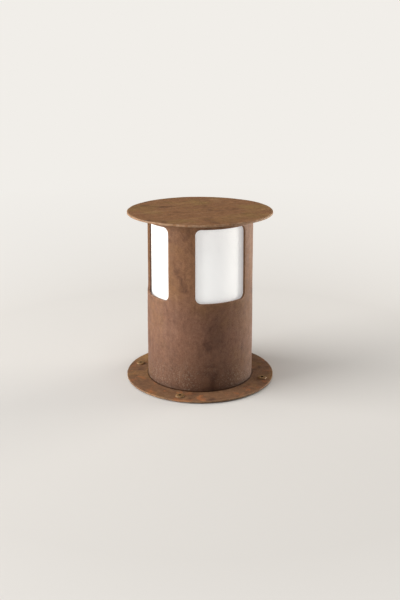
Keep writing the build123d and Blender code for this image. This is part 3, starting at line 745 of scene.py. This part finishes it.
# The steel cover
@dataclass
class SteelCover:
    """Lid, tube, flange, weld and screws."""

    lid: NodeBox
    tube: NodeBox
    flange: NodeBox
    wall: float = 3.0 * MM
    window_angle: float = 60.0
    window_count: int = 4
    sill: float = 120.0 * MM
    window_height: float = 99.0 * MM
    window_corner: float = 8.0 * MM
    edge: float = 0.45 * MM
    screw_ring: float = 89.5 * MM
    screw_turn: float = 3.0
    screw_hole: float = 2.8 * MM
    screw_head: float = 6.0 * MM
    screw_height: float = 1.8 * MM
    screw_shank: float = 2.5 * MM
    socket: float = 3.5 * MM
    socket_depth: float = 1.6 * MM
    weld_leg: float = 1.2 * MM
    dent: float = 0.1 * MM
    inset: float = 0.15 * MM

    def build(self) -> None:
        """Makes every piece of the cover."""
        self.make_lid()
        self.make_tube()
        self.make_flange()
        self.make_weld()
        self.make_screws()

    def make_lid(self) -> None:
        """The lid: a disc with rolled edges, gently uneven as plate is, with a few scale chips on its rim."""
        radius, low, high = self.lid.radius, self.lid.bottom, self.lid.top
        corners = [(0.0, low), (radius, low), (radius, high), (0.0, high)]
        outline = rounded_outline(corners, [0.0, 0.8 * MM, 1.1 * MM, 0.0], 6)
        outline = refined(outline, 1.9 * MM)
        # Wear at the rim's two corners, which also carries the painted highlight of the rim.
        wear = wear_and_painted_light(outline, [(radius, high), (radius, low)], 3.0 * MM)

        def uneven(angle: Array, r: Array, z: Array) -> Pair:
            """Height waves with slow and quick ripples; the rim's radius wanders a little and bears chips."""
            points = around(r, angle, z)
            rise = ripple(points, 60 * MM, 0.08 * MM, 11) + ripple(points, 7 * MM, 0.018 * MM, 12)
            rim = np.clip((r - (radius - 3 * MM)) / (3 * MM), 0.0, 1.0)
            wander = ripple(points, 16 * MM, 0.1 * MM, 13) + ripple(points, 4 * MM, 0.05 * MM, 14)
            wander = wander * rim
            rng = np.random.default_rng(15)
            for at, width in zip(rng.uniform(0.0, FULL_TURN, 26), rng.uniform(0.4, 1.3, 26) * MM):
                gap = ((angle - at + math.pi) % FULL_TURN - math.pi) * radius
                wander = wander + 0.22 * MM * np.exp(-((gap / width) ** 2)) * rim
            lift = np.where(z > (low + high) / 2, np.minimum(rise - 0.22 * MM, 0.0), np.maximum(rise, 0.0))
            return r + np.minimum(wander - self.inset, 0.0), z + lift

        shell = lathe(outline, 420, shape=uneven, wear=wear)
        fit_piece("lid_disc", shell, Finish.LID_RUST, 60.0, "cover", "weathering_steel", "lid_plate")

    def make_tube(self) -> None:
        """The tube: a rolled sheet pierced by the windows, a little out of round and lightly dented."""
        radius, low, high = self.tube.radius, self.tube.bottom, self.tube.top
        sill = low + self.sill
        half = (radius * math.radians(self.window_angle / 2.0), self.window_height / 2.0)
        sheet = PiercedSheet(
            cells=self.window_count, pitch=FULL_TURN * radius / self.window_count, across=(low, high),
            hole_centre=sill + half[1], hole_half=half, hole_corner=self.window_corner, thickness=self.wall,
            edge=self.edge, steps=(76, 64, 14, 62), border=sill - 10.0 * MM)
        facing = math.radians(-90.0)

        def bent(along: Array, across: Array, depth: Array) -> Array:
            """Wraps the sheet round the axis: angle is the length along over the radius."""
            angle = along / radius + facing
            face = around(radius, angle, across)
            dent = ripple(face, 70 * MM, self.dent, 21) + ripple(face, 18 * MM, self.dent * 0.25, 22)
            return around(radius - depth + dent - self.inset, angle, across)

        shell = sheet.build(bent, 3.0 * MM)
        fit_piece("windowed_tube", shell, Finish.TUBE_RUST, 50.0, "cover", "weathering_steel", "housing_tube")

    def make_flange(self) -> None:
        """The flange: a flat ring pierced by the screw holes, with a rolled rim."""
        inner, outer = self.tube.radius - self.wall, self.flange.radius
        low, high = self.flange.bottom, self.flange.top
        sheet = PiercedSheet(
            cells=self.window_count, pitch=FULL_TURN * self.screw_ring / self.window_count,
            across=(inner, outer), hole_centre=self.screw_ring, hole_half=(self.screw_hole, self.screw_hole),
            hole_corner=self.screw_hole * 0.999, thickness=high - low, edge=self.edge, steps=(96, 12, 20, 6),
            border=inner + self.edge)
        first = math.radians(-45.0 + self.screw_turn)

        def flat(along: Array, across: Array, depth: Array) -> Array:
            """Bends the strip into a ring: angle is the length along over the screws' radius."""
            angle = along / self.screw_ring + first
            points = around(across, angle, np.zeros_like(depth))
            wave = ripple(points, 55 * MM, 0.05 * MM, 31) + ripple(points, 9 * MM, 0.014 * MM, 32)
            rim = np.clip((across - (outer - 2 * MM)) / (2 * MM), 0.0, 1.0)
            reach = across + np.minimum((ripple(points, 12 * MM, 0.1 * MM, 33) - self.inset) * rim, 0.0)
            height = high - depth + np.where(depth < (high - low) / 2, np.minimum(wave - 0.08 * MM, 0.0), 0.0)
            return around(reach, angle, height)

        shell = sheet.build(flat, 2.5 * MM)
        fit_piece("foot_flange", shell, Finish.FLANGE_RUST, 50.0, "cover", "weathering_steel", "base_flange")

    def make_weld(self) -> None:
        """The weld: a bead round the tube's foot, laid in small overlapping ripples."""
        foot, low, leg = self.tube.radius, self.flange.top, self.weld_leg
        turn = np.linspace(0.0, math.pi / 2.0, 7)
        belly = np.stack([foot + leg * np.cos(turn) ** 1.4, low + leg * np.sin(turn) ** 1.4], axis=1)
        inside = np.array([(foot - 0.8 * MM, low + leg * 0.95), (foot - 0.8 * MM, low - 0.25 * MM),
                           (foot + leg, low - 0.25 * MM)])
        outline = np.vstack([belly, inside])

        def rippled(angle: Array, r: Array, z: Array) -> Pair:
            """Scales the bead about its root by a saw-like ripple and a slow wander."""
            step = (angle * foot / (2.1 * MM) + 0.8 * np.sin(3.0 * angle)) % 1.0
            swell = 0.92 + 0.13 * step - 0.16 * np.clip(step - 0.8, 0.0, 1.0) / 0.2
            swell = swell + 0.05 * np.sin(5.0 * angle + 1.0) + 0.04 * np.sin(11.0 * angle)
            grown = np.maximum(r - foot, 0.0) * swell
            return np.where(r > foot, foot + grown, r), np.where(z > low, low + (z - low) * swell, z)

        shell = lathe(outline, 900, shape=rippled, closed=True)
        # Its finish is near-black: painted shade of the crease as well as dark rust.
        fit_piece("foot_weld", shell, Finish.WELD_RUST, 70.0, "cover", "weld_steel", "base_weld")

    def make_screws(self) -> None:
        """The screws: low flanged button heads, each with a hexagon socket and a plain shank."""
        seat, tip = self.flange.top - 0.05 * MM, NodeBox.of("flange_screws").bottom
        head, rise, across, shank = self.screw_head, self.screw_height, self.socket, self.screw_shank
        crown, socket = 0.57 * head, across * 0.577
        floor = seat + rise - self.socket_depth
        dome = [(crown + (head - crown) * math.sin(t), seat + rise * (0.34 + 0.66 * math.cos(t)))
                for t in np.linspace(0.0, math.pi / 2.0, 7)]
        outline = np.array(
            [(0.0, floor), (socket, floor), (socket, seat + rise - 0.15 * MM), (socket + 0.25 * MM, seat + rise),
             *dome, (head, seat + 0.12 * MM), (head - 0.15 * MM, seat), (shank, seat), (shank, tip + 0.4 * MM),
             (shank - 0.4 * MM, tip), (0.0, tip)])
        # The socket's floor and walls are marked -1 for painted shade.
        socket_shade = np.where((outline[:, 0] < socket + 0.1 * MM) & (outline[:, 1] > seat), -1.0, 0.0)
        for k in range(self.window_count):
            angle = math.radians(-45.0 + self.screw_turn + 90.0 * k)
            place = (self.screw_ring * math.cos(angle), self.screw_ring * math.sin(angle))

            def socketed(turn: Array, r: Array, z: Array, first: float = 0.35 * k) -> Pair:
                """Makes the innermost rings hexagonal, and leaves the rest round."""
                flat = hexagon_radius(turn + first, across)
                inner = (r > 0.0) & (r < socket + 0.3 * MM) & (z > seat)
                return np.where(inner, flat + (r - socket), r), z

            shell = lathe(outline, 72, place, socketed, wear=socket_shade)
            nodes = ("flange_screws",) if k == 0 else ()
            fit_piece(f"flange_screw_{k}", shell, Finish.SCREW_RUST, 40.0, "cover", "weathered_screw", *nodes)


# The diffuser and the lamp
@dataclass
class OpalDiffuser:
    """The opal cup."""

    cup: NodeBox
    wall: float = 3.0 * MM
    crown: float = 4.0 * MM

    def build(self) -> None:
        """Makes the cup as a closed shell, open at the bottom."""
        r, low, high = self.cup.radius, self.cup.bottom, self.cup.top
        inner, under = r - self.wall, high - self.wall
        corners = [(0.0, under), (inner, under), (inner, low), (r, low), (r, high), (0.0, high)]
        radii = [0.0, self.crown / 2.0, 0.3 * MM, 0.3 * MM, self.crown, 0.0]
        outline = refined(rounded_outline(corners, radii, 8), 8.0 * MM)
        fit_piece("opal_cup", lathe(outline, 256), Finish.OPAL, 40.0, "diffuser", "opal", "opal_diffuser")


@dataclass
class ScrewLamp:
    """The lamp's thread shell and frosted dome; the rest of it keeps its CAD mesh."""

    shell: NodeBox
    globe: NodeBox
    thread_pitch: float = 3.63 * MM
    thread_depth: float = 0.9 * MM
    shell_wall: float = 0.35 * MM
    globe_wall: float = 1.2 * MM

    def build(self) -> None:
        """Makes the shell and the dome."""
        self.make_shell()
        self.make_globe()

    def make_shell(self) -> None:
        """The shell: a sleeve with a rolled helical thread.

        Its radius is the crest's less half the depth times (1 - cos(2 pi z / pitch - angle)), and the
        thread fades out at both ends.
        """
        crest, low, high = self.shell.radius, self.shell.bottom, self.shell.top
        heights = np.linspace(low, high, 90)
        outside = np.stack([np.full(90, crest), heights], axis=1)
        inside = np.stack([np.full(90, crest - self.shell_wall), heights[::-1]], axis=1)

        def threaded(angle: Array, r: Array, z: Array) -> Pair:
            """Presses the thread into both faces of the sleeve."""
            fade = np.clip(np.minimum(z - low, high - z) / (2.5 * MM), 0.0, 1.0)
            groove = 0.5 * (1.0 - np.cos(FULL_TURN * z / self.thread_pitch - angle))
            return r - self.thread_depth * groove * fade, z

        shell = lathe(np.vstack([outside, inside]), 96, shape=threaded, closed=True)
        fit_piece("thread_shell", shell, Finish.SHELL, 60.0, "lamp", "lamp_shell", "lamp_cap")

    def make_globe(self) -> None:
        """The dome: a thin spherical shell, cut flat where it meets the body."""
        r, low, high = self.globe.radius, self.globe.bottom, self.globe.top
        centre, arcs = high - r, []
        for reach, way in ((r, 1), (r - self.globe_wall, -1)):
            turn = np.linspace(math.asin((low - centre) / reach), math.pi / 2.0, 40)[::way]
            arcs.append(np.stack([reach * np.cos(turn), centre + reach * np.sin(turn)], axis=1))
        outline = np.vstack(arcs)
        outline[[39, 40], 0] = 0.0
        shell = lathe(outline, 128, closed=True)
        fit_piece("frosted_dome", shell, Finish.FROST, 40.0, "lamp", "lamp_frost", "lamp_globe")


# The base under the cover
@dataclass
class LampBase:
    """The base's ribbed gland cap; every other piece of the base keeps its CAD mesh."""

    gland: NodeBox
    ribs: int = 18
    rib_depth: float = 0.5 * MM
    bore: float = 3.6 * MM
    neck: float = 7.3 * MM
    clamp: float = 4.7 * MM

    def build(self) -> None:
        """The clamping cap: a domed sleeve along X, gripped by ribs.

        It is turned about its own axis first, and its points are then laid over: (x, y, z) goes to
        (-z, y, x) about the cap's place.
        """
        x_out, x_in = self.gland.low[0], self.gland.high[0]
        middle = (self.gland.low[2] + self.gland.high[2]) / 2.0
        r = (self.gland.high[2] - self.gland.low[2]) / 2.0
        length, bore, neck = x_in - x_out, self.bore, self.neck
        seat = (bore, length - self.clamp)
        corners = [seat, (bore, length), (r, length), (r, 0.0), (neck, 0.0), (neck, seat[1]), seat]
        outline = rounded_outline(corners, [0, 0.3 * MM, 3.0 * MM, 0.4 * MM, 0.3 * MM, 0, 0], 7)
        outline = refined(outline, 1.2 * MM)[:-1]

        def ribbed(angle: Array, rad: Array, z: Array) -> Pair:
            """Cuts flutes into the outside below the dome."""
            flute = 0.5 - 0.5 * np.cos(self.ribs * angle)
            side = np.clip((rad - (r - 1.2 * MM)) / (1.0 * MM), 0.0, 1.0)
            below = np.clip((length - 2.6 * MM - z) / (1.0 * MM), 0.0, 1.0)
            return rad - self.rib_depth * flute ** 2 * side * below, z

        shell = lathe(outline, 216, shape=ribbed, closed=True)
        for k, points in enumerate(shell.points):
            shell.points[k] = np.stack([x_in - points[:, 2], points[:, 1], middle + points[:, 0]], axis=-1)
        fit_piece("gland_clamp", shell, Finish.GLAND, 45.0, "base", "gland_plastic", "gland_cap")


CAD_FINISHES: dict[Finish, tuple[str, ...]] = {
    Finish.ZINC: ("lid_brackets", "mounting_plate", "lamp_tray"),
    Finish.ZINC_SCREW: ("lid_studs", "lid_washers", "lid_nuts", "pillars", "pillar_screws", "tray_screws",
                        "holder_screws", "box_lid_screws"),
    Finish.BRASS: ("earth_terminal", "holder_contact", "lamp_tip"),
    Finish.CAST: ("lock_ring",),
    Finish.COLLAR: ("diffuser_collar",),
    Finish.SEAL: ("diffuser_seal",),
    Finish.RUBBER: ("entry_grommet", "tray_grommet"),
    Finish.DARK_BOX: ("terminal_box", "terminal_box_lid"),
    Finish.GLAND: ("cable_gland",),
    Finish.BLOCK: ("terminal_block",),
    Finish.PORCELAIN: ("lampholder",),
    Finish.BLACK_GLASS: ("lamp_insulator",),
    Finish.LAMP_WHITE: ("lamp_body",),
}


def dress_cad_nodes(nodes: dict[str, bpy.types.Object]) -> None:
    """Gives every carried-over CAD node its finish."""
    for finish, names in CAD_FINISHES.items():
        for name in names:
            mesh = nodes[name].data
            mesh.materials.clear()
            mesh.materials.append(finish.material())
            LOG.info("%s: dressed with %s", name, finish.value.name)


# The studio
@dataclass
class Studio:
    """A pale floor, soft lights and the camera.

    Attributes:
        unit: the lid's radius, which camera distances are given in.
        azimuth: the camera's turn from -Y towards +X, in degrees.
        distance, height: its distance from the lantern's axis and its height above the floor, in units.
        pitch: how far it looks down, in degrees.
        shift: lens shift as a share of the frame's long side.
        lens: focal length in millimetres on a 36 mm long side.
        sweep: the distance in metres past which the floor passes into the sky.
        floor_tone, sky_tone, warm: the colours of the floor, the sky and the main light.
        light_reach, light_aim: the lights' distance in metres, and the height that the side lights face.
    """

    unit: float
    azimuth: float = -25.03
    distance: float = 10.696
    height: float = 4.487
    pitch: float = 9.18
    shift: float = -0.1998
    lens: float = 47.8
    sweep: float = 0.42
    floor_tone: Colour = (0.66, 0.65, 0.635)
    sky_tone: Colour = (0.88, 0.855, 0.815)
    warm: Colour = (1.0, 0.97, 0.93)
    light_reach: float = 3.0
    light_aim: float = 0.12

    def build(self) -> None:
        """Makes the camera, the floor, the lights and the sky."""
        bpy.context.scene.view_settings.view_transform = "Standard"
        self.make_camera()
        self.make_floor()
        self.make_sky()
        for name, turn, height, (wide, tall), power, tone in (
            ("key_left", -81.0, 0.87, (2.6, 1.6), 160.0, self.warm),
            ("rim_right", 115.0, 0.45, (1.9, 0.8), 114.0, (1.0, 0.94, 0.86)),
        ):
            place = self.spot(turn, self.light_reach, height)
            self.add_light(name, "AREA", place, self.light_aim, color=tone, energy=power,
                           shape="RECTANGLE", size=wide, size_y=tall)
        lean = math.radians(20.0)
        place = self.spot(-50.0, self.light_reach * math.sin(lean), self.light_reach * math.cos(lean))
        self.add_light("high", "SUN", place, 0.0, color=(1.0, 0.985, 0.965), energy=1.45,
                       angle=math.radians(60.0))

    def spot(self, turn: float, reach: float, height: float) -> Place:
        """A place round the lantern, by its turn from the camera's direction in degrees."""
        angle = math.radians(self.azimuth + turn)
        return reach * math.sin(angle), -reach * math.cos(angle), height

    def make_camera(self) -> None:
        """The camera, level enough to keep the uprights nearly parallel, with its lens shifted down."""
        data = bpy.data.cameras.new("camera")
        data.sensor_width, data.lens, data.shift_y = 36.0, self.lens, self.shift
        camera = bpy.data.objects.new("camera", data)
        camera.location = self.spot(0.0, self.distance * self.unit, self.height * self.unit)
        camera.rotation_euler = (math.radians(90.0 - self.pitch), 0.0, math.radians(self.azimuth))
        bpy.context.scene.collection.objects.link(camera)
        bpy.context.scene.camera = camera

    def make_floor(self) -> None:
        """A wide pale floor, which passes into the sky's own tone with distance, as a studio sweep does.

        The sky's share is (1 - sweep / distance) / 0.74, clamped.
        """
        shell = Shell()
        side = np.linspace(-60.0, 60.0, 3)
        along, across = np.meshgrid(side, side)
        shell.grid(np.stack([along, across, np.zeros_like(along)], axis=-1))
        bench = Bench("studio_floor")
        far = bench.between(bench.times(self.sweep, bench.distance(), "DIVIDE"), 1.0, 0.26)
        bench.fixed(Base_Color=bench.mix(far, self.floor_tone, (0.0, 0.0, 0.0)), Emission_Strength=far,
                    Emission_Color=self.sky_tone, Roughness=0.9, Specular_IOR_Level=0.0)
        make_piece("studio_floor", shell, bench.material)

    def make_sky(self) -> None:
        """A soft even sky: dim as a light, and pale where it is seen behind the floor."""
        world = bpy.data.worlds.new("studio_sky")
        bpy.context.scene.world = world
        world.use_nodes = True
        tree = world.node_tree
        seen, lit, ray, join = tree.nodes["Background"], *(
            tree.nodes.new("ShaderNode" + kind) for kind in ("Background", "LightPath", "MixShader"))
        for node, tone, strength in ((seen, self.sky_tone, 1.0), (lit, self.warm, 0.15)):
            node.inputs["Color"].default_value = (*tone, 1.0)
            node.inputs["Strength"].default_value = strength
        for k, source in enumerate((ray.outputs["Is Camera Ray"], lit.outputs[0], seen.outputs[0])):
            tree.links.new(source, join.inputs[k])
        tree.links.new(join.outputs[0], tree.nodes["World Output"].inputs["Surface"])

    def add_light(self, name: str, kind: str, place: Place, aim: float, **settings: object) -> None:
        """A light that faces the lantern.

        Args:
            name: the light's name.
            kind: AREA or SUN.
            place: where it stands.
            aim: the height on the axis that it faces.
            settings: its own properties.
        """
        data = bpy.data.lights.new(name, kind)
        for key, value in settings.items():
            setattr(data, key, value)
        light = bpy.data.objects.new(name, data)
        light.location = place
        light.rotation_euler = (light.location - Vector((0.0, 0.0, aim))).to_track_quat("Z", "Y").to_euler()
        light.visible_camera = False
        bpy.context.scene.collection.objects.link(light)


def main() -> None:
    """Builds the lantern's looks around the frame."""
    logging.basicConfig(level=logging.INFO, format="%(name)s %(message)s")
    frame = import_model()
    lid = NodeBox.of("lid_plate")
    Studio(unit=lid.radius).build()
    SteelCover(lid, NodeBox.of("housing_tube"), NodeBox.of("base_flange")).build()
    OpalDiffuser(NodeBox.of("opal_diffuser")).build()
    ScrewLamp(NodeBox.of("lamp_cap"), NodeBox.of("lamp_globe")).build()
    LampBase(NodeBox.of("gland_cap")).build()
    dress_cad_nodes(frame["nodes"])


if __name__ == "__main__":
    main()
